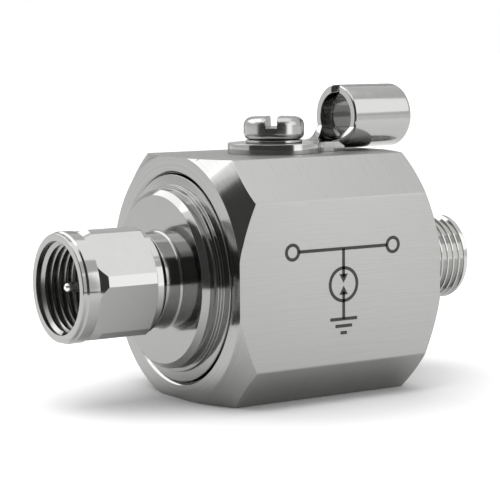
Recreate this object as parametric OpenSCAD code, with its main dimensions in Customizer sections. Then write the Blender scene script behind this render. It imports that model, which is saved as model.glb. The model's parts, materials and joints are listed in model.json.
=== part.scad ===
// Coax lightning arrestor: a square housing on a coax line, with a swivel nut at one end,
// a threaded port at the other, a gas tube inside and a ground lug on top.
// Millimetres. X runs along the coax axis towards the port, Z is up, and the housing stands on z = 0.

/* [Housing] */
// Width of the square housing across its flats
housing_w = 25.4; // [24:0.1:32]
// Length of the housing along the coax axis
housing_l = 25.4; // [23:0.1:36]
// Leg of the 45 degree bevel on the four long edges
edge_bevel = 4.1; // [2:0.1:5]
// Radius at which the turned end chamfer meets each end face
end_face_r = 13; // [12.4:0.1:13.6]
// Angle of the turned end chamfer from the coax axis
end_chamfer_angle = 50; // [40:1:60]
// Depth of the seat that the male flange bottoms on
seat_depth = 4.5; // [4:0.1:6]
// Bevel at the mouth of the flange bore
mouth_bevel = 0.5; // [0.2:0.1:0.8]
// Radius of the cavity round the centre conductor
cavity_r = 6.5; // [6.2:0.1:7]
// Wall between the cavity and the port end face
port_wall = 4.4; // [3.5:0.1:6]

/* [Male flange] */
// How far the flange stands proud of the housing
flange_proud = 2; // [1:0.1:4]
// Radius of the polished front disc
disc_r = 9.37; // [8.5:0.01:9.6]
// Bevel on the front edge of the disc
disc_bevel = 0.56; // [0.2:0.02:0.8]
// Length of the disc back to its step
disc_l = 1.82; // [1:0.02:2.4]
// Radius of the step behind the disc
step_r = 9.8; // [9.65:0.01:10.2]
// Length of the step back to the ring
step_l = 0.82; // [0.4:0.02:1.2]
// Radius of the recessed outer ring
ring_r = 10.75; // [10.4:0.01:11]
// Length of the outer ring in front of the screwed body
ring_l = 0.8; // [0.4:0.05:1.2]
// Dark gap between the outer ring and the housing bore
ring_gap = 0.25; // [0.1:0.01:0.4]
// Radius of the neck behind the nut
neck_r = 5; // [4.6:0.05:6]
// Length of the neck
neck_l = 1.9; // [1:0.1:4]
// Fillet at the foot of the neck
neck_fillet = 0.3; // [0.1:0.05:0.6]

/* [Coupling nut] */
// Overall length of the nut
nut_l = 9.75; // [9:0.05:12]
// Size of the nut across its flats
nut_flats = 11.11; // [10.9:0.01:11.4]
// Radius that the hexagon corners are turned down to
nut_corner_r = 6.12; // [5.95:0.01:6.25]
// Radius of the round nose
nut_nose_r = 5.73; // [5.5:0.01:5.85]
// Length of the round nose
nut_nose_l = 1.85; // [1:0.05:2.5]
// Bevel on the front edge of the nose
nut_nose_bevel = 0.15; // [0.05:0.05:0.3]
// Length of the cone from the nose to the corners
nut_cone_l = 0.8; // [0.4:0.05:1.2]
// Length of the cone from the corners down to the rear collar
nut_rear_cone_l = 0.38; // [0.2:0.02:0.6]
// Radius of the rear collar
nut_collar_r = 5.45; // [5:0.05:5.5]
// Length of the rear collar
nut_collar_l = 1.15; // [1:0.05:2.2]
// Bevel on the rear edge of the collar
nut_collar_bevel = 0.45; // [0.1:0.05:0.5]
// Thickness of the inner lip that holds the nut on the ferrule
nut_lip_t = 2.05; // [1.4:0.05:2.6]
// Angle that the front corner of the hexagon is turned up
nut_turn = 10; // [0:1:59]
// End float of the nut
nut_float = 0.1; // [0.05:0.01:0.3]

/* [Thread] */
// Outer radius of the coax port thread
thread_r = 4.7625; // [4.7:0.0025:4.8]
// Radial clearance of the nut over the port thread
thread_gap = 0.0375; // [0.02:0.0025:0.06]

/* [Male contact] */
// Bore radius of the ferrule
ferrule_bore_r = 2.9; // [2.6:0.05:3]
// Wall of the ferrule
ferrule_wall = 0.8; // [0.6:0.05:0.9]
// Height of the ferrule collar that traps the nut
collar_ledge = 0.6; // [0.45:0.05:0.65]
// Thickness of the ferrule collar
collar_t = 1; // [0.6:0.1:1.5]
// Clearance between the rubber seal and the nut
seal_gap = 0.1; // [0.05:0.01:0.15]
// Radius of the centre pin
pin_r = 0.5; // [0.4:0.01:0.6]
// How far the pin tip lies behind the front of the nut
pin_recess = 0.8; // [0:0.1:3]
// Length of the pin held in the centre conductor
pin_grip = 2.8; // [2:0.1:3.5]
// How far the insulator lies behind the ferrule face
bead_recess = 0.4; // [0:0.1:1]
// Radius of the insulator collar in the flange
bead_collar_r = 4.5; // [4.2:0.1:6]
// Thickness of the insulator collar in the flange
bead_collar_t = 1.5; // [1:0.1:2.5]

/* [Centre conductor] */
// Radius of the centre conductor
conductor_r = 1.85; // [1.6:0.05:2.2]
// Distance of the gas tube flat from the coax axis
conductor_flat = 1.5; // [1.2:0.05:1.55]
// Radius of the spigot that enters the female contact
spigot_r = 0.6; // [0.5:0.05:0.7]
// Length of the spigot
spigot_l = 2; // [1:0.1:2.5]

/* [Female port] */
// How far the port stands out of the housing
port_reach = 10.7; // [9:0.1:16]
// Radius of the plain shoulder next to the housing
shoulder_r = 5.15; // [5:0.05:5.6]
// Length of the plain shoulder outside the housing
shoulder_l = 1.5; // [0.8:0.1:3]
// Bevel on the shoulder edge
shoulder_bevel = 0.2; // [0.1:0.05:0.4]
// Radius of the thread relief
relief_r = 4.3; // [4.2:0.05:4.5]
// Length of the thread relief
relief_l = 0.6; // [0.3:0.1:1]
// Bevel on the nose of the port
nose_bevel = 0.3; // [0.2:0.05:0.7]
// Bore radius of the port
port_bore_r = 3.25; // [3:0.05:3.4]
// Thickness of the inner flange that holds the port in the housing
port_flange_t = 1.2; // [0.8:0.1:2]
// Thickness of the rear insulator
rear_bead_t = 2; // [1.5:0.1:3]
// How far the port insulator lies behind the port mouth
insulator_recess = 0.3; // [0:0.1:1]
// Wall of the port insulator in front of the female contact
insulator_nose_t = 0.9; // [0.6:0.1:1.5]
// Radius of the pin hole in the port insulator
entry_r = 0.65; // [0.6:0.05:0.8]
// Radius of the funnel round the pin hole
funnel_r = 1.15; // [1:0.05:1.4]
// Outer radius of the female contact
contact_r = 1.1; // [1:0.05:1.3]
// Bore radius of the female contact
contact_bore_r = 0.52; // [0.45:0.01:0.6]
// Depth of the bore in the female contact
contact_bore_l = 6; // [5:0.1:7]
// Width of the cross slots in the female contact
contact_slot_w = 0.25; // [0.15:0.01:0.35]
// Length of the cross slots in the female contact
contact_slot_l = 4.5; // [3:0.1:5]

/* [Seals] */
// Cord radius of the flange seal
flange_seal_r = 0.55; // [0.4:0.05:0.7]
// Cord radius of the port seal
port_seal_r = 0.4; // [0.3:0.05:0.5]
// Side room beside a seal in its groove
groove_room = 0.1; // [0.05:0.01:0.2]

/* [Gas tube] */
// Length of the gas tube over its caps
tube_l = 6; // [5:0.1:6.5]
// Radius of the ceramic body
tube_r = 2.5; // [2.2:0.05:2.6]
// Wall of the ceramic body
tube_wall = 0.7; // [0.5:0.05:0.9]
// Radius of the end caps
cap_r = 2.75; // [2.65:0.05:3]
// Thickness of the end caps
cap_t = 0.7; // [0.5:0.05:1]
// Radius of the electrodes inside the tube
electrode_r = 1.4; // [1:0.05:1.5]
// Spark gap between the electrodes
spark_gap = 0.6; // [0.3:0.05:1]
// Room round the tube in its pocket
pocket_room = 0.25; // [0.1:0.05:0.4]
// Height of the contact spring
spring_h = 1.8; // [1.4:0.1:2]
// Mean radius of the contact spring
spring_r = 2.1; // [1.6:0.05:2.3]
// Wire radius of the contact spring
spring_wire_r = 0.22; // [0.15:0.01:0.28]
// Turns of the contact spring
spring_turns = 2.25; // [1.5:0.25:2.5]

/* [Ground screw] */
// Thread radius of the ground screw
screw_r = 1.75; // [1.5:0.05:1.9]
// Radial clearance of the screw in its hole
screw_gap = 0.05; // [0.02:0.01:0.08]
// Length of the screw under its head
screw_l = 5.9; // [5:0.1:6.2]
// Depth of the screw hole below the top flat
screw_hole_l = 5; // [4.8:0.1:5.2]
// Head radius of the screw
head_r = 3.27; // [3:0.01:3.8]
// Head height of the screw
head_h = 2.3; // [2:0.05:2.8]
// Rounding of the head's upper edge
head_round = 0.8; // [0.4:0.05:0.95]
// Rounding of the head's lower edge
head_under_round = 0.45; // [0.2:0.05:0.6]
// Width of the screwdriver slot
slot_w = 1.2; // [0.8:0.05:1.4]
// Depth of the screwdriver slot
slot_d = 1.15; // [0.8:0.05:1.3]
// Heading of the screwdriver slot from the coax axis
slot_heading = 51; // [0:1:179]
// Radius of the washer
washer_r = 2.95; // [2.7:0.05:4.5]
// Thickness of the washer
washer_t = 0.5; // [0.3:0.05:1]
// Clearance of the washer round the screw
washer_gap = 0.1; // [0.05:0.01:0.15]

/* [Ground lug] */
// Heading of the lug from the coax axis
lug_heading = 3; // [-90:1:90]
// Plate thickness of the lug
lug_t = 1.1; // [0.8:0.05:1.3]
// Radius of the lug's ring end
lug_ring_r = 5; // [4.4:0.1:5.6]
// Clearance of the lug round the screw
lug_gap = 0.1; // [0.05:0.01:0.1]
// Half width of the tongue
tongue_half_w = 3; // [2.6:0.05:3.1]
// Fillet between the ring and the tongue
tongue_fillet = 1.5; // [1:0.1:2]
// Half width of the flat stretch where it meets the barrel
tongue_tip_half_w = 1.6; // [0.6:0.05:2]
// Distance from the screw to the near end of the barrel
barrel_start = 8.5; // [7.6:0.1:12]
// Length of the barrel
barrel_l = 8.3; // [6:0.1:11]
// Outer radius of the rolled barrel
barrel_r = 3.5; // [3.3:0.05:4]
// Wall of the rolled barrel
barrel_wall = 1.1; // [0.8:0.05:1.2]
// Depth of the wider bore at the near end
barrel_step_l = 1.6; // [0.8:0.1:2.4]
// Extra bore radius at the near end
barrel_step = 0.25; // [0.1:0.05:0.35]
// Rounding of the far outer edge
barrel_round = 0.7; // [0.3:0.05:0.75]
// Bevel of the near outer edge
barrel_bevel = 0.15; // [0.05:0.05:0.3]
// Gap under the barrel
barrel_lift = 0.15; // [0.1:0.05:0.4]
// Width of the seam along the top of the barrel
seam_w = 0.2; // [0.1:0.05:0.4]
// Width of the notch where the seam opens
notch_w = 1.4; // [0.8:0.1:2]
// Depth of the notch where the seam opens
notch_l = 1.3; // [0.6:0.1:2]
// Height of the wings where they join the barrel
wing_h = 2.6; // [2:0.1:3.4]
// Length of the wings
wing_l = 2.6; // [2:0.1:3]

/* [Fits] */
// Radial clearance of pressed and bonded fits
fit_gap = 0.02; // [0.01:0.005:0.04]
// Radial running clearance of the swivel nut
run_gap = 0.07; // [0.03:0.01:0.1]

/* [Hidden] */
$fn = 96;
overall_l = nut_l + nut_float + neck_l + flange_proud + housing_l + port_reach;
axis_h = housing_w / 2;

nut_x0 = -overall_l / 2;
nut_x1 = nut_x0 + nut_l;
nut_hex_x1 = nut_x1 - nut_collar_l;
nut_lip_x0 = nut_x1 - nut_lip_t;
nut_bore_r = thread_r + thread_gap;

neck_x0 = nut_x1 + nut_float;
flange_x0 = neck_x0 + neck_l;
housing_x0 = flange_x0 + flange_proud;
housing_x1 = housing_x0 + housing_l;
mid_x = (housing_x0 + housing_x1) / 2;
seat_x = housing_x0 + seat_depth;
flange_bore_r = ring_r + ring_gap;
flange_body_r = flange_bore_r - fit_gap;
disc_x1 = flange_x0 + disc_l;
step_x1 = disc_x1 + step_l;
ring_x1 = step_x1 + ring_l;

ferrule_r = ferrule_bore_r + ferrule_wall;
collar_r = ferrule_r + collar_ledge;
collar_x1 = nut_lip_x0 - nut_float;
collar_x0 = collar_x1 - collar_t;
bead_collar_x0 = seat_x - bead_collar_t;

cavity_x1 = housing_x1 - port_wall;
port_flange_x0 = cavity_x1 - port_flange_t;
rear_bead_x0 = port_flange_x0 - rear_bead_t;
port_x1 = housing_x1 + port_reach;
shoulder_x1 = housing_x1 + shoulder_l;
insulator_x1 = port_x1 - insulator_recess;
contact_x1 = insulator_x1 - insulator_nose_t;

corner_r = norm([axis_h, axis_h - edge_bevel]);
end_chamfer_l = (corner_r - end_face_r) / tan(end_chamfer_angle);

flange_seal_x = (ring_x1 + seat_x) / 2;
flange_seal_mid_r = flange_bore_r - fit_gap - flange_seal_r;
port_seal_x = (cavity_x1 + housing_x1) / 2;
port_hole_r = shoulder_r + fit_gap;
port_seal_mid_r = port_hole_r - fit_gap - port_seal_r;

tube_top = axis_h - conductor_flat;
tube_bottom = tube_top - tube_l;
pocket_floor = tube_bottom - spring_h;
pocket_r = cap_r + pocket_room;
electrode_l = (tube_l - 2 * cap_t - spark_gap) / 2;

washer_z = housing_w + lug_t;
head_z = washer_z + washer_t;
barrel_z = barrel_lift + barrel_r;
barrel_bore_r = barrel_r - barrel_wall;
wing_x = barrel_start - wing_l;
wing_rise = wing_h - lug_t;
wing_cut_r = (wing_l * wing_l + wing_rise * wing_rise) / (2 * wing_rise);

// Room that a cut is run past a face, so that it leaves no skin
past = 1;

// Shapes that several pieces share

// A piece turned about the coax axis, from an outline of [radius, x] points
module turned(outline) {
    translate([0, 0, axis_h])
        rotate([0, 90, 0])
            rotate_extrude()
                polygon(outline);
}

// A plain ring or tube about the coax axis
module tube_x(inner_r, outer_r, x0, x1) {
    turned([[inner_r, x0], [outer_r, x0], [outer_r, x1], [inner_r, x1]]);
}

// A solid round bar about the coax axis
module bar_x(r, x0, x1) {
    turned([[0, x0], [r, x0], [r, x1], [0, x1]]);
}

// A rubber seal ring about the coax axis
module seal_x(mid_r, cord_r, x) {
    translate([x, 0, axis_h])
        rotate([0, 90, 0])
            rotate_extrude()
                translate([mid_r, 0])
                    circle(cord_r);
}

// The groove that such a ring lies in, cut from the outside of a turned piece
module seal_groove_x(mid_r, cord_r, x, outer_r) {
    half_w = cord_r + groove_room;
    tube_x(mid_r - cord_r - fit_gap, outer_r + past, x - half_w, x + half_w);
}

// An upright disc on the line of the ground screw and the gas tube
module upright(r, z0, z1) {
    translate([mid_x, 0, z0])
        cylinder(r = r, h = z1 - z0);
}

// Housing

// Square section with its four corners bevelled
module housing_section() {
    a = axis_h;
    b = axis_h - edge_bevel;
    polygon([[a, -b], [a, b], [b, a], [-b, a], [-a, b], [-a, -b], [-b, -a], [b, -a]]);
}

// Outline that the lathe leaves at both ends of the square bar
module housing_envelope() {
    full_r = corner_r + past;
    full_l = end_chamfer_l + past / tan(end_chamfer_angle);
    turned([
        [0, housing_x0], [end_face_r, housing_x0], [full_r, housing_x0 + full_l],
        [full_r, housing_x1 - full_l], [end_face_r, housing_x1], [0, housing_x1]
    ]);
}

module housing() {
    color("#b9bab7")
    difference() {
        intersection() {
            translate([housing_x0, 0, axis_h])
                rotate([0, 90, 0])
                    linear_extrude(housing_l)
                        housing_section();
            housing_envelope();
        }
        bar_x(flange_bore_r, housing_x0 - past, seat_x);
        turned([
            [0, housing_x0 - past], [flange_bore_r + mouth_bevel + past, housing_x0 - past],
            [flange_bore_r, housing_x0 + mouth_bevel], [0, housing_x0 + mouth_bevel]
        ]);
        bar_x(cavity_r, seat_x - past, cavity_x1);
        bar_x(port_hole_r, cavity_x1 - past, housing_x1 + past);
        upright(pocket_r, pocket_floor, axis_h);
        upright(screw_r + screw_gap, housing_w - screw_hole_l, housing_w + past);
    }
}

// Male end

// Stepped disc and neck, turned as one piece
module flange_blank() {
    turned([
        [0, neck_x0], [neck_r, neck_x0], [neck_r, flange_x0], [disc_r - disc_bevel, flange_x0],
        [disc_r, flange_x0 + disc_bevel], [disc_r, disc_x1], [step_r, disc_x1], [step_r, step_x1],
        [ring_r, step_x1], [ring_r, ring_x1], [flange_body_r, ring_x1], [flange_body_r, seat_x],
        [0, seat_x]
    ]);
}

// Round fillet where the neck meets the disc
module neck_fillet_ring() {
    translate([flange_x0, 0, axis_h])
        rotate([0, 90, 0])
            rotate_extrude()
                difference() {
                    translate([neck_r - neck_fillet, -neck_fillet])
                        square([2 * neck_fillet, 2 * neck_fillet]);
                    translate([neck_r + neck_fillet, -neck_fillet])
                        circle(neck_fillet);
                }
}

module male_flange() {
    color("#c4c5c3")
    difference() {
        union() {
            flange_blank();
            neck_fillet_ring();
        }
        bar_x(ferrule_r + fit_gap, neck_x0 - past, seat_x + past);
        bar_x(bead_collar_r + fit_gap, bead_collar_x0, seat_x + past);
        seal_groove_x(flange_seal_mid_r, flange_seal_r, flange_seal_x, flange_body_r);
    }
}

module flange_seal() {
    color("#1d1d1e")
    seal_x(flange_seal_mid_r, flange_seal_r, flange_seal_x);
}

module male_ferrule() {
    color("#c4c5c3")
    turned([
        [ferrule_bore_r, collar_x0], [collar_r, collar_x0], [collar_r, collar_x1],
        [ferrule_r, collar_x1], [ferrule_r, bead_collar_x0], [ferrule_bore_r, bead_collar_x0]
    ]);
}

module nut_seal() {
    color("#1d1d1e")
    tube_x(collar_r + fit_gap, nut_bore_r - seal_gap, collar_x0, collar_x1);
}

module male_insulator() {
    bead_r = ferrule_bore_r - fit_gap;
    color("#f2f1ec")
    turned([
        [pin_r + fit_gap, collar_x0 + bead_recess], [bead_r, collar_x0 + bead_recess],
        [bead_r, bead_collar_x0], [bead_collar_r, bead_collar_x0], [bead_collar_r, seat_x],
        [pin_r + fit_gap, seat_x]
    ]);
}

module centre_pin() {
    tip_x = nut_x0 + pin_recess + pin_r;
    color("#dcdcda")
    union() {
        bar_x(pin_r, tip_x, seat_x + pin_grip);
        translate([tip_x, 0, axis_h])
            sphere(pin_r);
    }
}

// Coupling nut

// What the lathe leaves of the hexagon bar between its nose and its collar
module nut_envelope() {
    cone_x1 = nut_x0 + nut_nose_l + nut_cone_l;
    turned([
        [0, nut_x0 + nut_nose_l], [nut_nose_r, nut_x0 + nut_nose_l], [nut_corner_r, cone_x1],
        [nut_corner_r, nut_hex_x1 - nut_rear_cone_l], [nut_collar_r, nut_hex_x1], [0, nut_hex_x1]
    ]);
}

module nut_hexagon() {
    translate([nut_x0, 0, axis_h])
        rotate([-nut_turn, 0, 0])
            rotate([0, 90, 0])
                rotate([0, 0, 90])
                    cylinder(r = nut_flats / 2 / cos(30), h = nut_l, $fn = 6);
}

module coupling_nut() {
    nose_face_r = nut_nose_r - nut_nose_bevel;
    collar_face_r = nut_collar_r - nut_collar_bevel;
    color("#c9cac8")
    difference() {
        union() {
            intersection() {
                nut_hexagon();
                nut_envelope();
            }
            turned([
                [0, nut_x0], [nose_face_r, nut_x0], [nut_nose_r, nut_x0 + nut_nose_bevel],
                [nut_nose_r, nut_x0 + nut_nose_l], [0, nut_x0 + nut_nose_l]
            ]);
            turned([
                [0, nut_hex_x1], [nut_collar_r, nut_hex_x1], [nut_collar_r, nut_x1 - nut_collar_bevel],
                [collar_face_r, nut_x1], [0, nut_x1]
            ]);
        }
        bar_x(nut_bore_r, nut_x0 - past, nut_lip_x0);
        bar_x(ferrule_r + run_gap, nut_lip_x0 - past, nut_x1 + past);
    }
}

// Centre line

module centre_conductor() {
    flat_l = 2 * (cap_r + pocket_room);
    color("#c8a95a")
    difference() {
        union() {
            bar_x(conductor_r, seat_x, rear_bead_x0);
            bar_x(spigot_r, rear_bead_x0, rear_bead_x0 + spigot_l);
        }
        bar_x(pin_r + fit_gap, seat_x - past, seat_x + pin_grip);
        translate([mid_x - flat_l / 2, -conductor_r - past, tube_top - conductor_r])
            cube([flat_l, 2 * (conductor_r + past), conductor_r]);
    }
}

module rear_insulator() {
    color("#f2f1ec")
    tube_x(contact_r + fit_gap, cavity_r - fit_gap, rear_bead_x0, port_flange_x0);
}

module female_contact() {
    color("#d1b35f")
    difference() {
        bar_x(contact_r, rear_bead_x0, contact_x1);
        bar_x(spigot_r + fit_gap, rear_bead_x0 - past, rear_bead_x0 + spigot_l);
        bar_x(contact_bore_r, contact_x1 - contact_bore_l, contact_x1 + past);
        for (turn = [0, 90])
            translate([contact_x1 - contact_slot_l, 0, axis_h])
                rotate([turn, 0, 0])
                    translate([0, -contact_slot_w / 2, -contact_r - past])
                        cube([contact_slot_l + past, contact_slot_w, 2 * (contact_r + past)]);
    }
}

module port_insulator() {
    bead_r = port_bore_r - fit_gap;
    funnel_l = funnel_r - entry_r;
    color("#f2f1ec")
    turned([
        [contact_r + fit_gap, port_flange_x0], [bead_r, port_flange_x0], [bead_r, insulator_x1],
        [funnel_r, insulator_x1], [entry_r, insulator_x1 - funnel_l], [entry_r, contact_x1],
        [contact_r + fit_gap, contact_x1]
    ]);
}

module female_port() {
    color("#c4c5c3")
    difference() {
        turned([
            [port_bore_r, port_flange_x0], [cavity_r - fit_gap, port_flange_x0],
            [cavity_r - fit_gap, cavity_x1], [shoulder_r, cavity_x1],
            [shoulder_r, shoulder_x1 - shoulder_bevel], [shoulder_r - shoulder_bevel, shoulder_x1],
            [relief_r, shoulder_x1], [relief_r, shoulder_x1 + relief_l],
            [thread_r, shoulder_x1 + relief_l], [thread_r, port_x1 - nose_bevel],
            [thread_r - nose_bevel, port_x1], [port_bore_r, port_x1]
        ]);
        seal_groove_x(port_seal_mid_r, port_seal_r, port_seal_x, shoulder_r);
    }
}

module port_seal() {
    color("#1d1d1e")
    seal_x(port_seal_mid_r, port_seal_r, port_seal_x);
}

// Gas tube

module gas_tube_ceramic() {
    color("#efe9df")
    difference() {
        upright(tube_r, tube_bottom + cap_t, tube_top - cap_t);
        upright(tube_r - tube_wall, tube_bottom, tube_top);
    }
}

module gas_tube_upper_cap() {
    color("#bfc0c2")
    union() {
        upright(cap_r, tube_top - cap_t, tube_top);
        upright(electrode_r, tube_top - cap_t - electrode_l, tube_top);
    }
}

module gas_tube_lower_cap() {
    color("#bfc0c2")
    union() {
        upright(cap_r, tube_bottom, tube_bottom + cap_t);
        upright(electrode_r, tube_bottom, tube_bottom + cap_t + electrode_l);
    }
}

// Coil spring: rings of points along a helix, joined into a closed wire
wire_sides = 8;
steps_per_turn = 24;
spring_steps = ceil(spring_turns * steps_per_turn);
spring_rise = spring_h - 2 * (spring_wire_r + fit_gap);

function spring_point(step, side) =
    let (turn = 360 * spring_turns * step / spring_steps,
         around = 360 * side / wire_sides,
         r = spring_r + spring_wire_r * cos(around))
    [r * cos(turn), r * sin(turn), spring_rise * step / spring_steps + spring_wire_r * sin(around)];

function wire_index(step, side) = step * wire_sides + side % wire_sides;

module gas_tube_spring() {
    points = [
        for (step = [0:spring_steps], side = [0:wire_sides - 1]) spring_point(step, side)
    ];
    skin = [
        for (step = [0:spring_steps - 1], side = [0:wire_sides - 1])
            [wire_index(step, side), wire_index(step, side + 1),
             wire_index(step + 1, side + 1), wire_index(step + 1, side)]
    ];
    start_cap = [for (side = [wire_sides - 1:-1:0]) wire_index(0, side)];
    end_cap = [for (side = [0:wire_sides - 1]) wire_index(spring_steps, side)];
    color("#a9aaac")
    translate([mid_x, 0, pocket_floor + spring_wire_r + fit_gap])
        polyhedron(points, concat(skin, [start_cap, end_cap]), convexity = 6);
}

// Ground terminal

// Half section of the screw head, with both edges rounded
module head_section() {
    square([head_r - head_round, head_h]);
    square([head_r - head_under_round, head_h - head_round]);
    translate([0, head_under_round])
        square([head_r, head_h - head_round - head_under_round]);
    translate([head_r - head_round, head_h - head_round])
        circle(head_round);
    translate([head_r - head_under_round, head_under_round])
        circle(head_under_round);
}

module ground_screw() {
    color("#c9cac8")
    difference() {
        union() {
            translate([mid_x, 0, head_z])
                rotate_extrude()
                    head_section();
            upright(screw_r, head_z - screw_l, head_z + head_under_round);
        }
        translate([mid_x, 0, head_z + head_h - slot_d])
            rotate([0, 0, slot_heading])
                translate([-head_r - past, -slot_w / 2, 0])
                    cube([2 * (head_r + past), slot_w, slot_d + past]);
    }
}

module ground_washer() {
    color("#d2d3d1")
    difference() {
        upright(washer_r, washer_z, head_z);
        upright(screw_r + washer_gap, washer_z - past, head_z + past);
    }
}

// Flat blank of the lug: ring, neck and tongue, narrowing as its sides turn up into the barrel
module lug_blank() {
    fillet_y = tongue_half_w + tongue_fillet;
    fillet_x = sqrt(pow(lug_ring_r + tongue_fillet, 2) - fillet_y * fillet_y);
    difference() {
        union() {
            circle(lug_ring_r);
            polygon([
                [0, -tongue_half_w], [wing_x, -tongue_half_w], [barrel_start, -tongue_tip_half_w],
                [barrel_start, tongue_tip_half_w], [wing_x, tongue_half_w], [0, tongue_half_w]
            ]);
            for (side = [-1, 1])
                difference() {
                    polygon([[0, 0], [fillet_x, side * fillet_y], [fillet_x, 0]]);
                    translate([fillet_x, side * fillet_y])
                        circle(tongue_fillet);
                }
        }
        circle(screw_r + lug_gap);
    }
}

// Half section of the rolled barrel, from its near end at zero
module barrel_section() {
    difference() {
        union() {
            polygon([
                [barrel_bore_r, 0], [barrel_r - barrel_bevel, 0], [barrel_r, barrel_bevel],
                [barrel_r, barrel_l - barrel_round], [barrel_bore_r, barrel_l - barrel_round]
            ]);
            translate([barrel_bore_r, 0])
                square([barrel_wall - barrel_round, barrel_l]);
            translate([barrel_r - barrel_round, barrel_l - barrel_round])
                circle(barrel_round);
        }
        translate([barrel_bore_r - past, -past])
            square([past + barrel_step, past + barrel_step_l]);
        translate([barrel_bore_r - 2 * barrel_round, -past])
            square([2 * barrel_round, barrel_l + 2 * past]);
    }
}

// Side wings: a trough of the barrel's own curve, scooped down to the tongue
module lug_wings() {
    difference() {
        translate([wing_x, 0, barrel_z])
            rotate([0, 90, 0])
                difference() {
                    cylinder(r = barrel_r, h = wing_l);
                    translate([0, 0, -past])
                        cylinder(r = barrel_bore_r + barrel_step, h = wing_l + 2 * past);
                }
        translate([wing_x, barrel_r + past, lug_t + wing_cut_r])
            rotate([90, 0, 0])
                cylinder(r = wing_cut_r, h = 2 * (barrel_r + past));
        translate([wing_x - past, -barrel_r - past, wing_h])
            cube([wing_l + 2 * past, 2 * (barrel_r + past), 2 * barrel_r]);
    }
}

// Seam along the top of the barrel, opening to a notch at the near end
module barrel_seam() {
    translate([barrel_start - past, -seam_w / 2, barrel_z])
        cube([barrel_l + 2 * past, seam_w, barrel_r + past]);
    translate([barrel_start, 0, barrel_z])
        linear_extrude(barrel_r + past)
            polygon([
                [-past, -notch_w / 2], [0, -notch_w / 2], [notch_l, 0], [0, notch_w / 2],
                [-past, notch_w / 2]
            ]);
}

module ground_lug() {
    color("#cfd0ce")
    translate([mid_x, 0, housing_w])
        rotate([0, 0, lug_heading])
            difference() {
                union() {
                    linear_extrude(lug_t)
                        lug_blank();
                    lug_wings();
                    translate([barrel_start, 0, barrel_z])
                        rotate([0, 90, 0])
                            rotate_extrude()
                                barrel_section();
                }
                barrel_seam();
            }
}

housing();
male_flange();
flange_seal();
male_ferrule();
nut_seal();
male_insulator();
centre_pin();
coupling_nut();
centre_conductor();
rear_insulator();
female_contact();
port_insulator();
female_port();
port_seal();
gas_tube_ceramic();
gas_tube_upper_cap();
gas_tube_lower_cap();
gas_tube_spring();
ground_screw();
ground_washer();
ground_lug();
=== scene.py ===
# %% [markdown]
# # A coax lightning arrestor
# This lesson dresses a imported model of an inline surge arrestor: a square nickel-plated housing
# on a coax line, with a swivel nut at one end, a threaded port at the other and a ground lug on top.
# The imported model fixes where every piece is. Here the pieces that show get soft edges, threads
# and a finish, so that light runs along them as it does on plated brass.

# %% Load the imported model
import json
import math

import bmesh
import bpy
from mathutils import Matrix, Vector


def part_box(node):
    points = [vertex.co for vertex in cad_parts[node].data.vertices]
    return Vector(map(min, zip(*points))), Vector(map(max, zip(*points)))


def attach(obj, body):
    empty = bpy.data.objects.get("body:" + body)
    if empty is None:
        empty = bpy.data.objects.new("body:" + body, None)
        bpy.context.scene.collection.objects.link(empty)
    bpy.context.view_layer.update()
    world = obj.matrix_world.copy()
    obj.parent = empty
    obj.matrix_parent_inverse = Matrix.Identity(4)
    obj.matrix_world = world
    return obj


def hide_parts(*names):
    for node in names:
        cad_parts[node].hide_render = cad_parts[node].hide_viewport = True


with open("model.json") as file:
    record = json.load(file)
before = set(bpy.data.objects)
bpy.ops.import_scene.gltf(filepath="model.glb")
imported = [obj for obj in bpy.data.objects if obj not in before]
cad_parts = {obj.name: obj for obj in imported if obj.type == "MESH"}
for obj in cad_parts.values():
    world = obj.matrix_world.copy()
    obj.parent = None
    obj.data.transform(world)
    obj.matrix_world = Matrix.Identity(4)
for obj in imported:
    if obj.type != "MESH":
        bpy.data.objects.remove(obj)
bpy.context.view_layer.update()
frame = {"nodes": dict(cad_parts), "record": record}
nodes = frame["nodes"]
MM = 0.001

# %% [markdown]
# ## Places taken from the frame
# Every piece is turned about the coax axis or stands on the line of the ground screw, so a few
# boxes give all the places: the housing, the nut, the flange, the port, the screw and its washer.

# %% Read the main places
housing_lo, housing_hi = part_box("housing")
nut_lo, nut_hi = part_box("coupling_nut")
flange_lo, flange_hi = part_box("male_flange")
port_lo, port_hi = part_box("female_port")
screw_lo, screw_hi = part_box("ground_screw")
washer_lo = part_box("ground_washer")[0]

AXIS_H = (housing_lo.z + housing_hi.z) / 2
SCREW_X = (screw_lo.x + screw_hi.x) / 2
SEAT_X = flange_hi.x
COAX = (0, 0, AXIS_H)
SCREW_LINE = (SCREW_X, 0, 0)
ALONG_X = (0, math.pi / 2, 0)
UPRIGHT = (0, 0, 0)
print("coax axis height in mm:", round(AXIS_H / MM, 2), "screw at x:", round(SCREW_X / MM, 3))

# %% [markdown]
# ## The camera
# The camera looks from the nut's side, a little above the coax axis, with a long lens. Its angle,
# lens and distance were worked out from round edges whose real sizes are known. Blender's lens is
# in millimetres of sensor, so the focal length in pixels is scaled by sensor over picture width.

# %% Set the camera
VIEW_TURN = math.radians(-33.11)
VIEW_RISE = math.radians(6.303)
VIEW_ROLL = math.radians(-0.463)
VIEW_DISTANCE = 200.06 * MM
AIM_BEHIND_NUT = 23.256 * MM
AIM_ABOVE_AXIS = 2.338 * MM
PICTURE_PX = 500
FOCAL_PX = 1859.8
SENSOR_MM = 36
NEAREST_SEEN = 5 * MM

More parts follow.
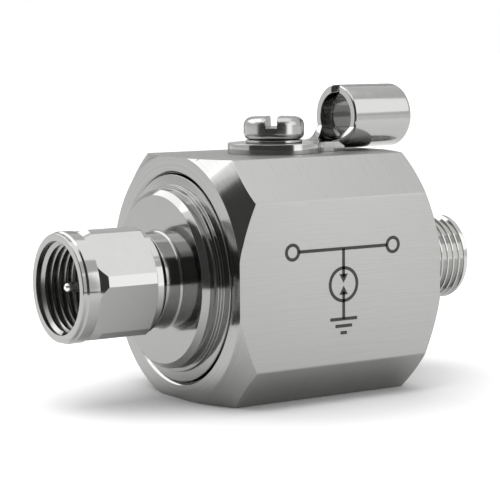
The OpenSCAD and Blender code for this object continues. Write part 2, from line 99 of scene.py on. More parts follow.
towards_camera = Vector((
    math.sin(VIEW_TURN) * math.cos(VIEW_RISE),
    -math.cos(VIEW_TURN) * math.cos(VIEW_RISE),
    math.sin(VIEW_RISE),
))
aim = Vector((nut_lo.x + AIM_BEHIND_NUT, 0, AXIS_H + AIM_ABOVE_AXIS))
bpy.ops.object.camera_add(location=aim + towards_camera * VIEW_DISTANCE)
camera = bpy.context.object
camera.rotation_euler = towards_camera.to_track_quat("Z", "Y").to_euler()
camera.rotation_euler.rotate_axis("Z", VIEW_ROLL)
camera.data.sensor_width = SENSOR_MM
camera.data.lens = FOCAL_PX / PICTURE_PX * SENSOR_MM
camera.data.clip_start = NEAREST_SEEN
bpy.context.scene.camera = camera
bpy.context.scene.view_settings.view_transform = "Standard"
print("lens in mm:", round(camera.data.lens, 1))

# %% [markdown]
# ## The floor and the room
# Polished metal shows its surroundings more than its own colour, so the studio is built like a
# product photographer's. The floor and the room are white to the camera and in reflections, and
# softer as light. More lamps could whiten the floor, but they would wash out the object, so the
# floor has a glow of its own that only such rays see. It grows in two stages with the distance from
# the object, which keeps the shadow near it and lets the far floor meet the room.

# %% Helpers for the studio
def drop_selection():
    """Leave edit mode and select nothing, so that the next operator acts on one piece only."""
    if bpy.context.object and bpy.context.object.mode != "OBJECT":
        bpy.ops.object.mode_set(mode="OBJECT")
    bpy.ops.object.select_all(action="DESELECT")


def add_node(tree, kind, **settings):
    """Add a shader node and set its plain settings."""
    node = tree.nodes.new(kind)
    for name, value in settings.items():
        setattr(node, name, value)
    return node


def background_rays(tree, low, high):
    """The high value for rays that see the background, also mirrored, and the low one for light."""
    rays = add_node(tree, "ShaderNodeLightPath")
    seen = rays.outputs["Is Camera Ray"]
    for kind in ("Is Glossy Ray", "Is Transmission Ray"):
        larger = add_node(tree, "ShaderNodeMath", operation="MAXIMUM")
        tree.links.new(seen, larger.inputs[0])
        tree.links.new(rays.outputs[kind], larger.inputs[1])
        seen = larger.outputs[0]
    level = add_node(tree, "ShaderNodeMapRange")
    level.inputs["To Min"].default_value = low
    level.inputs["To Max"].default_value = high
    tree.links.new(seen, level.inputs["Value"])
    return level.outputs["Result"]


def matt_paint(name, colour):
    """A plain matt paint for what stands in the studio."""
    paint = bpy.data.materials.new(name)
    paint.use_nodes = True
    shader = paint.node_tree.nodes["Principled BSDF"]
    shader.inputs["Base Color"].default_value = colour
    shader.inputs["Roughness"].default_value = 1.0
    shader.inputs["Specular IOR Level"].default_value = 0.0
    return paint, shader


print("studio helpers ready")

# %% Lay the floor
FLOOR_SIZE = 8.0
FLOOR_DROP = 0.02 * MM
FLOOR_COLOUR = (0.9, 0.9, 0.9, 1)
WHITE = (1, 1, 1, 1)
LIFT_CENTRE = (0, -8 * MM, 0)
# Each stage of the glow: where it starts, where it ends and how strong it gets
LIFT_STAGES = [(11 * MM, 36 * MM, 0.35), (36 * MM, 900 * MM, 0.6)]

drop_selection()
bpy.ops.mesh.primitive_plane_add(size=FLOOR_SIZE, location=(0, 0, -FLOOR_DROP))
floor = bpy.context.object
floor.name = "studio_floor"
floor_paint, shader = matt_paint("floor_paint", FLOOR_COLOUR)
shader.inputs["Emission Color"].default_value = WHITE
tree = floor_paint.node_tree
place = add_node(tree, "ShaderNodeTexCoord")
away = add_node(tree, "ShaderNodeVectorMath", operation="DISTANCE")
away.inputs[1].default_value = LIFT_CENTRE
lift = add_node(tree, "ShaderNodeMath", operation="ADD")
only_seen = add_node(tree, "ShaderNodeMath", operation="MULTIPLY")
tree.links.new(place.outputs["Object"], away.inputs[0])
for socket, (start, end, strength) in zip(lift.inputs, LIFT_STAGES):
    stage = add_node(tree, "ShaderNodeMapRange")
    stage.inputs["From Min"].default_value = start
    stage.inputs["From Max"].default_value = end
    stage.inputs["To Max"].default_value = strength
    tree.links.new(away.outputs["Value"], stage.inputs["Value"])
    tree.links.new(stage.outputs["Result"], socket)
tree.links.new(lift.outputs[0], only_seen.inputs[0])
tree.links.new(background_rays(tree, 0, 1), only_seen.inputs[1])
tree.links.new(only_seen.outputs[0], shader.inputs["Emission Strength"])
floor.data.materials.append(floor_paint)
print("floor:", floor.name, "stages of its glow:", len(LIFT_STAGES))

# %% Paint the room
ROOM_WHITE = 1.0
ROOM_FILL = 0.45

room = bpy.data.worlds.new("white_room")
room.use_nodes = True
tree = room.node_tree
wall = tree.nodes["Background"]
wall.inputs["Color"].default_value = WHITE
tree.links.new(background_rays(tree, ROOM_FILL, ROOM_WHITE), wall.inputs["Strength"])
bpy.context.scene.world = room
print("room as background:", ROOM_WHITE, "and as light:", ROOM_FILL)

# %% [markdown]
# ## The softboxes
# A softbox is a large soft lamp, and polished metal shows it as a white shape. A tall one at the
# front right draws the long white bands, a second one beside it lights the lug's barrel and one
# overhead lights the upper slopes. The one at the back left is there for its reflection in the end
# chamfer, and the one at the left lights only the floor. Glowing sheets could stand in for them,
# but area lamps give the same light with less noise.

# %% Hang the softboxes
BACK_WAY = Vector((-0.35, 0.62, 0.70)).normalized()
BACK_DISTANCE = 380 * MM


def softbox(name, place, faces, width, height, glow):
    """A soft area lamp at a place, turned to face back along a direction. Its glow is its brightness."""
    drop_selection()
    bpy.ops.object.light_add(type="AREA", location=place)
    lamp = bpy.context.object
    lamp.name = name
    lamp.data.shape = "RECTANGLE"
    lamp.data.size = width
    lamp.data.size_y = height
    lamp.data.energy = glow * math.pi * width * height
    lamp.rotation_euler = Vector(faces).to_track_quat("Z", "Y").to_euler()
    lamp.visible_camera = False
    return lamp


softbox("side_box", place=(70 * MM, -133 * MM, 55 * MM), faces=(0.546, -0.838, 0),
        width=59 * MM, height=110 * MM, glow=1.35)
softbox("lug_box", place=(136 * MM, -113 * MM, 117 * MM), faces=(0.658, -0.591, 0.468),
        width=90 * MM, height=130 * MM, glow=1.0)
softbox("ceiling_box", place=(-20 * MM, -18 * MM, 260 * MM), faces=(0, 0, 1),
        width=420 * MM, height=255 * MM, glow=0.9)
back_box = softbox("back_box", place=Vector(COAX) + BACK_WAY * BACK_DISTANCE, faces=BACK_WAY,
                   width=330 * MM, height=260 * MM, glow=1.8)
back_box.visible_diffuse = False
floor_box = softbox("floor_box", place=(-170 * MM, 30 * MM, 400 * MM), faces=(0, 0, 1),
                    width=520 * MM, height=520 * MM, glow=1.1)
floor_box.visible_glossy = False

# %% [markdown]
# ## The cards
# A photographer gives bright metal its dark bands with cards that it mirrors: here a black one round
# the camera side and a grey one at the right. Flat cards would leave corners in the reflections, so
# a grid is bent round the object, with one row laid along the floor as an apron. Only reflections
# see the cards, so they neither show nor throw a shadow.

# %% Stand the cards
CARD_R = 330 * MM
CARD_STEPS = 24
APRON_LIFT = 0.1 * MM


def curved_card(name, start, end, height, apron_r, grey):
    """A card bent round the object between two headings in degrees, with an apron along the floor."""
    drop_selection()
    bpy.ops.mesh.primitive_grid_add(x_subdivisions=CARD_STEPS, y_subdivisions=2, size=2)
    card = bpy.context.object
    card.name = name
    rows = {-1: (apron_r, APRON_LIFT), 0: (CARD_R, APRON_LIFT), 1: (CARD_R, height)}
    for vertex in card.data.vertices:
        turn = math.radians(start + (vertex.co.x + 1) / 2 * (end - start))
        radius, up = rows[round(vertex.co.y)]
        vertex.co = (radius * math.cos(turn), radius * math.sin(turn), up)
    paint, shader = matt_paint(name + "_paint", (grey, grey, grey, 1))
    card.data.materials.append(paint)
    card.visible_camera = False
    card.visible_diffuse = False
    card.visible_shadow = False
    print(name, "from", start, "to", end, "degrees")


curved_card("black_card", start=-188, end=-74, height=400 * MM, apron_r=105 * MM, grey=0.11)
curved_card("grey_card", start=15, end=92, height=230 * MM, apron_r=300 * MM, grey=0.75)

# %% [markdown]
# ## How the finishes are made
# Every finish is a Principled shader whose colour, gloss and relief vary a little with noise, since
# no real surface is even. Stretched noise gives lines and noise over the distance from the axis
# gives rings. The patterns read Object coordinates, so they stay put when a piece moves.

# %% Helpers for the finishes
NOISE_LOW = 0.3
NOISE_HIGH = 0.7


def new_finish(name):
    """A material with its shader and the object's own coordinates."""
    material = bpy.data.materials.new(name)
    material.use_nodes = True
    tree = material.node_tree
    place = add_node(tree, "ShaderNodeTexCoord")
    return material, tree, tree.nodes["Principled BSDF"], place


def streaks(tree, place, scale, detail=3.0):
    """Noise stretched into lines: a small scale along the line and a large one across it."""
    stretch = add_node(tree, "ShaderNodeMapping")
    stretch.inputs["Scale"].default_value = scale
    noise = add_node(tree, "ShaderNodeTexNoise")
    noise.inputs["Scale"].default_value = 1.0
    noise.inputs["Detail"].default_value = detail
    tree.links.new(place, stretch.inputs["Vector"])
    tree.links.new(stretch.outputs["Vector"], noise.inputs["Vector"])
    return noise.outputs["Fac"]


def spread(tree, value, low, high):
    """Map a noise value, which lies mostly in the middle, to a range."""
    ranged = add_node(tree, "ShaderNodeMapRange")
    ranged.inputs["From Min"].default_value = NOISE_LOW
    ranged.inputs["From Max"].default_value = NOISE_HIGH
    ranged.inputs["To Min"].default_value = low
    ranged.inputs["To Max"].default_value = high
    tree.links.new(value, ranged.inputs["Value"])
    return ranged.outputs["Result"]


def tint(tree, value, dark, light):
    """Mix two colours by a noise value."""
    ramp = add_node(tree, "ShaderNodeValToRGB")
    for stop, position, colour in zip(ramp.color_ramp.elements, (NOISE_LOW, NOISE_HIGH), (dark, light)):
        stop.position = position
        stop.color = (*colour, 1)
    tree.links.new(value, ramp.inputs["Fac"])
    return ramp.outputs["Color"]


def relief(tree, value, shader, depth, strength=1.0):
    """Bump the shader's normal by a value, to a depth in metres."""
    bump = add_node(tree, "ShaderNodeBump")
    bump.inputs["Strength"].default_value = strength
    bump.inputs["Distance"].default_value = depth
    tree.links.new(value, bump.inputs["Height"])
    tree.links.new(bump.outputs["Normal"], shader.inputs["Normal"])
    return bump


print("finish helpers ready")

# %% Helpers for turned marks
RING_DETAIL = 2.0


def axis_places(tree, place):
    """How far along X a point is, and how far from the coax axis."""
    shift = add_node(tree, "ShaderNodeVectorMath", operation="SUBTRACT")
    shift.inputs[1].default_value = COAX
    parts = add_node(tree, "ShaderNodeSeparateXYZ")
    flat = add_node(tree, "ShaderNodeCombineXYZ")
    distance = add_node(tree, "ShaderNodeVectorMath", operation="LENGTH")
    tree.links.new(place, shift.inputs[0])
    tree.links.new(shift.outputs["Vector"], parts.inputs["Vector"])
    tree.links.new(parts.outputs["Y"], flat.inputs["Y"])
    tree.links.new(parts.outputs["Z"], flat.inputs["Z"])
    tree.links.new(flat.outputs["Vector"], distance.inputs[0])
    return parts.outputs["X"], distance.outputs["Value"]


def turned_marks(tree, place, per_metre):
    """Rings round the coax axis: noise along it and along the distance from it."""
    along, distance = axis_places(tree, place)
    rings = add_node(tree, "ShaderNodeCombineXYZ")
    tree.links.new(along, rings.inputs["X"])
    tree.links.new(distance, rings.inputs["Y"])
    return streaks(tree, rings.outputs["Vector"], (per_metre, per_metre, 1), detail=RING_DETAIL)


print("turned marks ready, round a height in mm of", round(AXIS_H / MM, 2))

# %% [markdown]
# ## Brushed nickel
# The housing was brushed before it was plated. Fine lines run along its front and back and across
# its bevels and top, and its turned ends have rings and a brighter gloss. Anisotropic gloss would
# need tangents on every face, so the lines are made as fine relief, and the direction in which a
# face looks chooses between the three patterns.

# %% Brushed nickel for the housing
BRUSHED_ALONG = (220, 15000, 15000)
BRUSHED_ACROSS = (9000, 180, 180)
END_RINGS = 9000
FRONT_FACING = 0.9
END_FACING = 0.35
SATIN_DARK = (0.315, 0.315, 0.308)
SATIN_LIGHT = (0.365, 0.365, 0.357)
FLAT_GLOSS = (0.33, 0.45)
END_GLOSS = (0.1, 0.15)
BRUSH_DEPTH = 0.0018 * MM
FLAT_RELIEF = 0.6
END_RELIEF = 0.15


def face_mask(tree, facing, axis, edge):
    """One where a face looks along an axis, either way, and zero elsewhere."""
    size = add_node(tree, "ShaderNodeMath", operation="ABSOLUTE")
    mask = add_node(tree, "ShaderNodeMath", operation="GREATER_THAN")
    mask.inputs[1].default_value = edge
    tree.links.new(facing.outputs[axis], size.inputs[0])
    tree.links.new(size.outputs[0], mask.inputs[0])
    return mask.outputs[0]


def choose(tree, mask, off, on):
    """One value where the mask is zero and another where it is one."""
    mix = add_node(tree, "ShaderNodeMix", data_type="FLOAT")
    tree.links.new(mask, mix.inputs["Factor"])
    tree.links.new(off, mix.inputs["A"])
    tree.links.new(on, mix.inputs["B"])
    return mix.outputs["Result"]


def brushed_nickel():
    """Satin plate over brushed flats, with the brush lines turned to suit each face, and turned ends."""
    material, tree, shader, place = new_finish("brushed_nickel")
    along = streaks(tree, place.outputs["Object"], BRUSHED_ALONG)
    across = streaks(tree, place.outputs["Object"], BRUSHED_ACROSS)
    rings = turned_marks(tree, place.outputs["Object"], END_RINGS)
    facing = add_node(tree, "ShaderNodeSeparateXYZ")
    tree.links.new(place.outputs["Normal"], facing.inputs["Vector"])
    front = face_mask(tree, facing, "Y", FRONT_FACING)
    end = face_mask(tree, facing, "X", END_FACING)
    lines = choose(tree, end, choose(tree, front, across, along), rings)
    gloss = choose(tree, end, spread(tree, lines, *FLAT_GLOSS), spread(tree, lines, *END_GLOSS))
    shader.inputs["Metallic"].default_value = 1.0
    tree.links.new(tint(tree, lines, SATIN_DARK, SATIN_LIGHT), shader.inputs["Base Color"])
    tree.links.new(gloss, shader.inputs["Roughness"])
    bump = relief(tree, lines, shader, BRUSH_DEPTH)
    tree.links.new(spread(tree, end, FLAT_RELIEF, END_RELIEF), bump.inputs["Strength"])
    return material


finishes = {"satin_nickel": brushed_nickel()}
print("housing finish:", finishes["satin_nickel"].name)

# %% [markdown]
# ## Polished plate
# The other metal pieces were polished, with only a trace of the turning marks and a faint haze in
# their gloss. One maker serves the nickel and the tin, since only the tone and the gloss differ. The
# cut thread in the nut is duller than its outside, so the plate may have a bore with less gloss.

# %% Polished plate for the turned pieces
PLATE_RINGS = 6000
PLATE_HAZE = (900, 900, 900)
HAZE_SHADE = 0.97
PLATE_DEPTH = 0.0002 * MM
PLATE_RELIEF = 0.5
PLATE_GLOSS = (0.09, 0.13)
SCREW_GLOSS = (0.17, 0.23)
LUG_GLOSS = (0.1, 0.15)
PIN_GLOSS = (0.22, 0.3)
BORE_DULLNESS = 0.13
NICKEL = (0.365, 0.365, 0.358)
TIN = (0.37, 0.37, 0.363)
# Painted highlight, in part: tin is bright, but the pin's tin is set far lighter than the lug's, so that
# its small tip reads as a bright ball.
PIN_LIT_TIN = (0.85, 0.85, 0.83)


def polished_plate(name, base, gloss=PLATE_GLOSS, bore_r=0):
    """Bright plate with a trace of rings left by turning, uneven gloss, and a duller bore."""
    material, tree, shader, place = new_finish(name)
    rings = turned_marks(tree, place.outputs["Object"], PLATE_RINGS)
    haze = streaks(tree, place.outputs["Object"], PLATE_HAZE)
    dark = tuple(v * HAZE_SHADE for v in base)
    shader.inputs["Metallic"].default_value = 1.0
    tree.links.new(tint(tree, haze, dark, base), shader.inputs["Base Color"])
    in_bore = add_node(tree, "ShaderNodeMath", operation="LESS_THAN")
    in_bore.inputs[1].default_value = bore_r
    dullness = add_node(tree, "ShaderNodeMath", operation="MULTIPLY_ADD")
    dullness.inputs[1].default_value = BORE_DULLNESS
    tree.links.new(axis_places(tree, place.outputs["Object"])[1], in_bore.inputs[0])
    tree.links.new(in_bore.outputs[0], dullness.inputs[0])
    tree.links.new(spread(tree, haze, *gloss), dullness.inputs[2])
    tree.links.new(dullness.outputs[0], shader.inputs["Roughness"])
    relief(tree, rings, shader, PLATE_DEPTH, PLATE_RELIEF)
    return material


finishes["bright_nickel"] = polished_plate("bright_nickel", NICKEL)
finishes["screw_nickel"] = polished_plate("screw_nickel", NICKEL, SCREW_GLOSS)
finishes["tinned_lug"] = polished_plate("tinned_lug", TIN, LUG_GLOSS)
finishes["tinned_pin"] = polished_plate("tinned_pin", PIN_LIT_TIN, PIN_GLOSS)
print("finishes so far:", sorted(finishes))

# %% [markdown]
# ## Quiet finishes
# Plastic, rubber, ceramic, brass and spring wire show little: the white insulator looks out of the
# port, and the rest lies inside. A fine grain in colour, gloss and relief is enough for all of them,
# so they share one maker and a table of tones.

# %% Quiet finishes, and a finish for every node
GRAIN_DEPTH = 0.004 * MM
GRAIN_RELIEF = 0.5
# Dark tone, light tone, grains to the metre, range of gloss, metal or not
QUIET_TONES = {
    "contact_brass": ((0.6, 0.43, 0.17), (0.72, 0.54, 0.24), 4000, (0.18, 0.3), 1.0),
    "white_insulator": ((0.74, 0.73, 0.7), (0.8, 0.79, 0.76), 3000, (0.35, 0.5), 0.0),
    "seal_rubber": ((0.012, 0.012, 0.013), (0.022, 0.022, 0.023), 5000, (0.5, 0.7), 0.0),
    "tube_ceramic": ((0.7, 0.66, 0.59), (0.78, 0.74, 0.67), 3500, (0.25, 0.4), 0.0),
    "cap_metal": ((0.4, 0.4, 0.4), (0.5, 0.5, 0.5), 4000, (0.2, 0.35), 1.0),
    "spring_steel": ((0.35, 0.35, 0.36), (0.45, 0.45, 0.46), 6000, (0.2, 0.35), 1.0),
}


def plain_finish(name, dark, light, grain, gloss, metallic, depth=GRAIN_DEPTH):
    """A fine grain that varies colour, gloss and relief a little."""
    material, tree, shader, place = new_finish(name)
    noise = streaks(tree, place.outputs["Object"], (grain, grain, grain))
    shader.inputs["Metallic"].default_value = metallic
    tree.links.new(tint(tree, noise, dark, light), shader.inputs["Base Color"])
    tree.links.new(spread(tree, noise, *gloss), shader.inputs["Roughness"])
    relief(tree, noise, shader, depth, GRAIN_RELIEF)
    return material


for name, tones in QUIET_TONES.items():
    finishes[name] = plain_finish(name, *tones)
for entry in frame["record"]["subparts"]:
    node = nodes[entry["node"]]
    node.data.materials.clear()
    node.data.materials.append(finishes[entry["material_slot"]])
print("all finishes:", sorted(finishes))

# %% [markdown]
# ## How the pieces are turned
# Most pieces were made on a lathe. A lathe cuts a section that goes all round, so the same is done
# here: a circle is extruded ring by ring and each new ring is scaled to its radius. Where the last
# ring meets the first, the two are merged and the piece is a closed tube. Otherwise the two ends
# are filled. Real edges are never sharp, so the outline's corners are rounded before it is turned.

# %% Helpers for outlines
STRAIGHT = math.radians(155)
SIDE_SHARE = 0.45


def arc(centre, radius, start, end, steps=6):
    """Points on a round stretch of an outline, from one angle to another in degrees."""
    angles = [math.radians(start + (end - start) * i / steps) for i in range(steps + 1)]
    return [(centre[0] + radius * math.cos(a), centre[1] + radius * math.sin(a)) for a in angles]


def round_corners(outline, radius, steps=4):
    """Round the corners of an outline, by less where a side is short. Gentle bends stay."""
    closed = outline[0] == outline[-1]
    points = [Vector(point) for point in (outline[:-1] if closed else outline)]
    rounded = []
    for i, corner in enumerate(points):
        back = points[i - 1] - corner
        ahead = points[(i + 1) % len(points)] - corner
        opening = back.angle(ahead)
        at_end = not closed and i in (0, len(points) - 1)
        if at_end or opening > STRAIGHT:
            rounded.append(tuple(corner))
            continue
        reach = min(radius / math.tan(opening / 2), SIDE_SHARE * back.length, SIDE_SHARE * ahead.length)
        start = corner + back.normalized() * reach
        end = corner + ahead.normalized() * reach
        for step in range(steps + 1):
            t = step / steps
            rounded.append(tuple(start * (1 - t) ** 2 + corner * 2 * t * (1 - t) + end * t ** 2))
    return rounded + rounded[:1] if closed else rounded


print("outline helpers ready")

# %% Helper for turned pieces
TURN_STEPS = 180
WELD = 0.001 * MM


def turn_piece(name, outline, base, tilt, steps=TURN_STEPS):
    """Turn a piece from an outline of (distance along the axis, radius) points."""
    drop_selection()
    along, radius = outline[0]
    bpy.ops.mesh.primitive_circle_add(vertices=steps, radius=radius, location=(0, 0, along))
    piece = bpy.context.object
    piece.name = name
    bpy.ops.object.transform_apply(location=True, rotation=True, scale=True)
    bpy.ops.object.mode_set(mode="EDIT")
    bpy.ops.mesh.select_all(action="SELECT")
    for next_along, next_radius in outline[1:]:
        bpy.ops.mesh.extrude_edges_move(TRANSFORM_OT_translate={"value": (0, 0, next_along - along)})
        factor = next_radius / radius
        bpy.ops.transform.resize(value=(factor, factor, 1), center_override=(0, 0, next_along))
        along, radius = next_along, next_radius
    bpy.ops.mesh.select_all(action="SELECT")
    if outline[0] == outline[-1]:
        bpy.ops.mesh.remove_doubles(threshold=WELD)
    else:
        bpy.ops.mesh.fill_holes(sides=0)
    bpy.ops.mesh.select_all(action="SELECT")
    bpy.ops.mesh.normals_make_consistent(inside=False)
    bpy.ops.object.mode_set(mode="OBJECT")
    piece.rotation_euler = tilt
    piece.location = base
    bpy.ops.object.transform_apply(location=True, rotation=True, scale=True)
    return piece


print("turning helper ready, with steps to a turn:", TURN_STEPS)

# %% [markdown]
# ## How the pieces are cut and finished
# A lathe can't make flats, slots or cross holes. Those are cut by tools that are modelled for it and
# taken away with a Boolean modifier, as a mill, a saw or a drill would. Sharp edges are then bevelled
# where a test finds them, and weighted normals keep the flats flat beside their soft edges.

# %% Helpers for cutting
def make_active(piece):
    """Select one piece only, and make it the active one."""
    drop_selection()
    piece.select_set(True)
    bpy.context.view_layer.objects.active = piece


def apply_modifier(piece, kind, **settings):
    """Add a modifier, set it and apply it."""
    make_active(piece)
    modifier = piece.modifiers.new(kind.lower(), kind)
    for name, value in settings.items():
        setattr(modifier, name, value)
    bpy.ops.object.modifier_apply(modifier=modifier.name)


def cut(piece, tool, operation="DIFFERENCE"):
    """Cut one piece with another, and throw the tool away."""
    apply_modifier(piece, "BOOLEAN", object=tool, operation=operation, solver="EXACT")
    bpy.data.objects.remove(tool)


def block(name, centre, size, rotation=UPRIGHT):
    """A box, used as a cutting tool or as the start of a piece."""
    drop_selection()
    bpy.ops.mesh.primitive_cube_add(size=1, location=centre, rotation=rotation)
    piece = bpy.context.object
    piece.name = name
    piece.scale = size
    bpy.ops.object.transform_apply(location=True, rotation=True, scale=True)
    return piece


def bevel_edges(piece, width, chosen, steps=3):
    """Bevel the edges that a test chooses."""
    make_active(piece)
    bpy.ops.object.mode_set(mode="EDIT")
    bpy.ops.mesh.select_mode(type="EDGE")
    bpy.ops.mesh.select_all(action="DESELECT")
    mesh = bmesh.from_edit_mesh(piece.data)
    mesh.normal_update()
    for edge in mesh.edges:
        edge.select = chosen(edge)
    bmesh.update_edit_mesh(piece.data)
    bpy.ops.mesh.bevel(offset=width, segments=steps, affect="EDGES", clamp_overlap=False)
    bpy.ops.object.mode_set(mode="OBJECT")


print("cutting helpers ready")

# %% Helpers for finishing
def join(piece, *others):
    """Make several meshes one piece."""
    drop_selection()
    for other in others:
        other.select_set(True)
    piece.select_set(True)
    bpy.context.view_layer.objects.active = piece
    bpy.ops.object.join()


def merge_near(piece, distance):
    """Merge points that lie closer than a distance."""
    make_active(piece)
    bpy.ops.object.mode_set(mode="EDIT")
    bpy.ops.mesh.select_all(action="SELECT")
    bpy.ops.mesh.remove_doubles(threshold=distance)
    bpy.ops.object.mode_set(mode="OBJECT")


def smooth(piece, angle=40):
    """Shade a piece smoothly up to an angle in degrees, with its flat faces kept flat."""
    make_active(piece)
    bpy.ops.object.shade_smooth_by_angle(angle=math.radians(angle))
    apply_modifier(piece, "WEIGHTED_NORMAL", keep_sharp=True)


def hand_over(piece, body, slot, *stands_for, finish=None):
    """Give a finished piece its finish, its body and the nodes that it stands for."""
    piece.data.materials.clear()
    piece.data.materials.append(finish or finishes[slot])
    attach(piece, body)
    if stands_for:
        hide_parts(*stands_for)
    print(piece.name, "faces:", len(piece.data.polygons))


print("finishing helpers ready")

# %% [markdown]
# ## The housing
# The housing is square bar with its long edges bevelled, faced and chamfered in a lathe. A cube is
# bevelled along its four long edges, then common with a turned outline, which leaves the curved
# edges where the cone meets the flats. The bore is one stepped tool, as a boring bar would cut it.

# %% Bevel the bar and face its ends
EDGE_BEVEL = 4.1 * MM
LONG_ROUND = 0.14 * MM
SHARP = math.radians(18)
END_FACE_R = 13 * MM
END_CHAMFER = math.radians(50)
FACING_R = 3 * MM

housing_size = housing_hi - housing_lo


def long_edge(edge):
    """True for an edge that runs the housing's whole length between two faces at an angle."""
    run = abs(edge.verts[0].co.x - edge.verts[1].co.x)
    return run > housing_size.x / 2 and edge.calc_face_angle() > SHARP


housing = block("housing_block", (housing_lo + housing_hi) / 2, housing_size)
bevel_edges(housing, EDGE_BEVEL, long_edge, steps=1)
bevel_edges(housing, LONG_ROUND, long_edge)

full_r = housing_size.y
chamfer_l = (full_r - END_FACE_R) / math.tan(END_CHAMFER)
lathe_shape = turn_piece("lathe_shape", [
    (housing_lo.x, FACING_R), (housing_lo.x, END_FACE_R), (housing_lo.x + chamfer_l, full_r),
    (housing_hi.x - chamfer_l, full_r), (housing_hi.x, END_FACE_R), (housing_hi.x, FACING_R),
], COAX, ALONG_X)
cut(housing, lathe_shape, "INTERSECT")
print("bar in mm:", [round(v / MM, 2) for v in housing_size])

# %% Bore the housing
BORE_R = 11 * MM
MOUTH_BEVEL = 0.3 * MM
CAVITY_R = 6.5 * MM
PORT_WALL = 4.4 * MM
PORT_HOLE_R = 5.17 * MM
POCKET_R = 3 * MM
POCKET_FLOOR = 3.4 * MM
SCREW_HOLE_R = 1.8 * MM
SCREW_HOLE_L = 5 * MM
PAST = 1 * MM

mouth_r = BORE_R + MOUTH_BEVEL + PAST
boring_bar = turn_piece("boring_bar", [
    (housing_lo.x - PAST, mouth_r), (housing_lo.x + MOUTH_BEVEL, BORE_R), (SEAT_X, BORE_R),
    (SEAT_X, CAVITY_R), (housing_hi.x - PORT_WALL, CAVITY_R),
    (housing_hi.x - PORT_WALL, PORT_HOLE_R), (housing_hi.x + PAST, PORT_HOLE_R),
], COAX, ALONG_X)
tube_drill = turn_piece("tube_drill", [
    (POCKET_FLOOR, POCKET_R), (AXIS_H, POCKET_R),
], SCREW_LINE, UPRIGHT)
screw_drill = turn_piece("screw_drill", [
    (housing_hi.z - SCREW_HOLE_L, SCREW_HOLE_R), (housing_hi.z + PAST, SCREW_HOLE_R),
], SCREW_LINE, UPRIGHT)
for tool in (boring_bar, tube_drill, screw_drill):
    cut(housing, tool)
print("bored to mm:", round(BORE_R / MM, 2))

# %% Soften the housing's curved edges
SLIVER = 0.006 * MM
CURVE_ROUND = 0.06 * MM
CURVE_START = 0.5 * MM


def curved_edge(edge):
    """True for a sharp edge between a cone and a flat, a little way in from the housing's ends."""
    middle = (edge.verts[0].co + edge.verts[1].co) / 2
    outside = math.hypot(middle.y, middle.z - AXIS_H) > END_FACE_R
    inward = min(middle.x - housing_lo.x, housing_hi.x - middle.x) > CURVE_START
    return outside and inward and edge.is_manifold and edge.calc_face_angle() > SHARP


merge_near(housing, SLIVER)
bevel_edges(housing, CURVE_ROUND, curved_edge, steps=2)
smooth(housing)
hand_over(housing, "arrestor", "satin_nickel", "housing")

# %% [markdown]
# ## The diagram on the front
# Such parts are often printed with a small circuit diagram: the line straight through, a spark gap
# tapped off it and the earth below. Screen ink is only hundredths of a millimetre thick, so every
# stroke is a thin block, ring or triangle that stands just proud of the face.

# %% Helpers for the ink
STROKE = 0.34 * MM
INK_T = 0.02 * MM
INK_SINK = 0.01 * MM
POINT_R = 0.62 * MM
INK_STEPS = 48
ONTO_FRONT = (math.pi / 2, 0, 0)

ink_y = housing_lo.y - (INK_T - INK_SINK) / 2


def stroke(x, z, width, height):
    """A bar of ink by its middle."""
    return block("stroke", (x, ink_y, z), (width, INK_T + INK_SINK, height))


def ink_ring(x, z, radius):
    """A ring of ink by its middle."""
    half = STROKE / 2
    section = [(-INK_SINK, radius - half), (-INK_SINK, radius + half), (INK_T, radius + half),
               (INK_T, radius - half), (-INK_SINK, radius - half)]
    return turn_piece("ink_ring", section, (x, housing_lo.y, z), ONTO_FRONT, INK_STEPS)


def ink_point(z, turn):
    """A triangle of ink, which is a three-sided cylinder turned to point up or down."""
    drop_selection()
    bpy.ops.mesh.primitive_cylinder_add(
        vertices=3, radius=POINT_R, depth=INK_T + INK_SINK, location=(SCREW_X, ink_y, z),
        rotation=(math.pi / 2, turn, 0))
    bpy.ops.object.transform_apply(location=True, rotation=True, scale=True)
    return bpy.context.object


print("ink thickness in mm:", round(INK_T / MM, 3))

# %% Print the diagram
LINE_RISE = 3.4 * MM
LINE_HALF = 5.6 * MM
TERMINAL_R = 0.75 * MM
TUBE_DROP = 0.3 * MM
TUBE_R = 1.7 * MM
POINT_GAP = 0.3 * MM
EARTH_DROP = 3.6 * MM
EARTH_BARS = [3.4 * MM, 2.1 * MM, 0.8 * MM]
EARTH_STEP = 0.72 * MM
INK_DARK = (0.01, 0.01, 0.011)
INK_LIGHT = (0.02, 0.02, 0.021)
INK_GRAIN = 6000
INK_GLOSS = (0.4, 0.55)
INK_DEPTH = 0.001 * MM

line_z = AXIS_H + LINE_RISE
tube_z = AXIS_H - TUBE_DROP
earth_z = tube_z - EARTH_DROP
tap_z = tube_z + POINT_GAP / 2 + POINT_R
tail_z = tube_z - POINT_GAP / 2 - POINT_R

marks = [stroke(SCREW_X, line_z, 2 * LINE_HALF, STROKE)]
for side in (-1, 1):
    marks.append(ink_ring(SCREW_X + side * (LINE_HALF + TERMINAL_R), line_z, TERMINAL_R))
marks.append(ink_ring(SCREW_X, tube_z, TUBE_R))
marks.append(ink_point(tap_z, math.pi))
marks.append(ink_point(tail_z, 0))
marks.append(stroke(SCREW_X, (line_z + tap_z) / 2, STROKE, line_z - tap_z))
marks.append(stroke(SCREW_X, (tail_z + earth_z) / 2, STROKE, tail_z - earth_z))
for row, width in enumerate(EARTH_BARS):
    marks.append(stroke(SCREW_X, earth_z - row * EARTH_STEP, width, STROKE))

front_print = marks[0]
front_print.name = "front_print"
join(*marks)
front_print.data.materials.append(
    plain_finish("print_ink", INK_DARK, INK_LIGHT, INK_GRAIN, INK_GLOSS, metallic=0.0, depth=INK_DEPTH))
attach(front_print, "arrestor")
print(front_print.name, "strokes:", len(marks))

